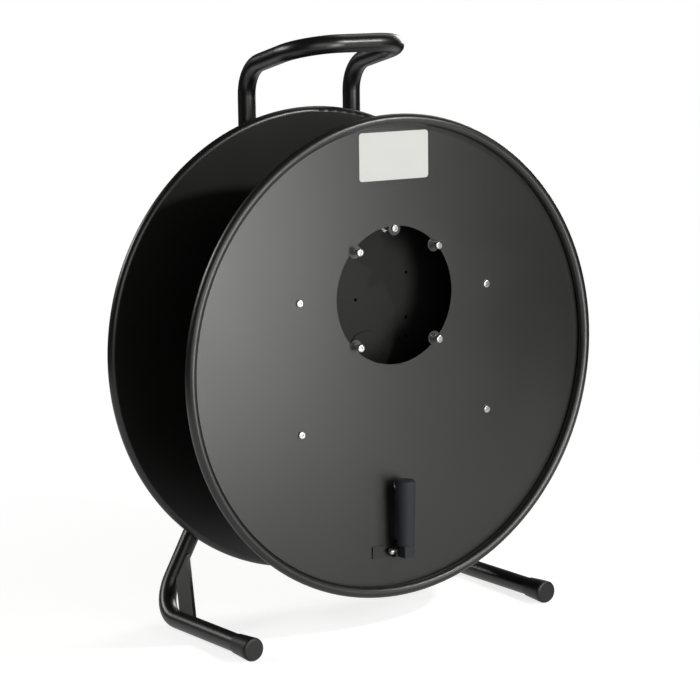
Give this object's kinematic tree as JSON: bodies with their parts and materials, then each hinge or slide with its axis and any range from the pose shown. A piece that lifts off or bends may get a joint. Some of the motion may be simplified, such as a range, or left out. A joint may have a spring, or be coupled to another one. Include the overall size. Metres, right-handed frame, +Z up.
{
  "type": "steel cable drum",
  "caption": "Sheet steel cable drum with curled rims, an open cable compartment and a fold-out crank, turning on a bent tube stand with carrying handle.",
  "frame": {"origin": "on the floor below the middle of the overall size", "axes": "+Z up, the drum's open side and the crank face -Y, the axle runs along Y, +X to the right seen from the front"},
  "size_m": [0.58, 0.2452, 0.7136],
  "materials": {
    "painted_sheet": "satin black powder coat",
    "painted_tube": "glossy black powder coat",
    "cap_plastic": "matte black moulded plastic",
    "bush_plastic": "turned bearing plastic",
    "grip_plastic": "matte blue-black moulded plastic",
    "zinc_steel": "bright zinc plating",
    "label_film": "blank white label film"
  },
  "bodies": {
    "frame": {"tube_frame": "painted_tube", "gusset_left": "painted_tube", "gusset_right": "painted_tube", "foot_cap_left": "cap_plastic", "foot_cap_right": "cap_plastic", "axle_plate": "painted_tube", "axle": "zinc_steel", "axle_ring": "zinc_steel"},
    "drum": {"front_flange": "painted_sheet", "back_flange": "painted_sheet", "core_barrel": "painted_sheet", "tie_rods": "zinc_steel", "bearing_plate": "painted_sheet", "hub_tube": "painted_sheet", "hub_bushes": "bush_plastic", "hub_cover": "painted_sheet", "front_screws": "zinc_steel", "back_screws": "zinc_steel", "panel_spacers": "zinc_steel", "panel_screws": "zinc_steel", "label": "label_film", "crank_bracket": "painted_tube", "crank_rivet": "zinc_steel"},
    "crank": {"hinge_block": "grip_plastic", "crank_spindle": "zinc_steel"},
    "grip": {"crank_grip": "grip_plastic"}
  },
  "joints": [
    {"name": "drum_spin", "type": "hinge", "parent": "frame", "child": "drum", "pos_m": [0, -0.00485, 0.3324], "axis": [0, 1, 0], "continuous": true},
    {"name": "crank_fold", "type": "hinge", "parent": "drum", "child": "crank", "pos_m": [0, -0.10015, 0.0989], "axis": [1, 0, 0], "range_deg": [0, 90]},
    {"name": "grip_spin", "type": "hinge", "parent": "crank", "child": "grip", "pos_m": [0, -0.11015, 0.14], "axis": [0, 0, 1], "continuous": true}
  ]
}
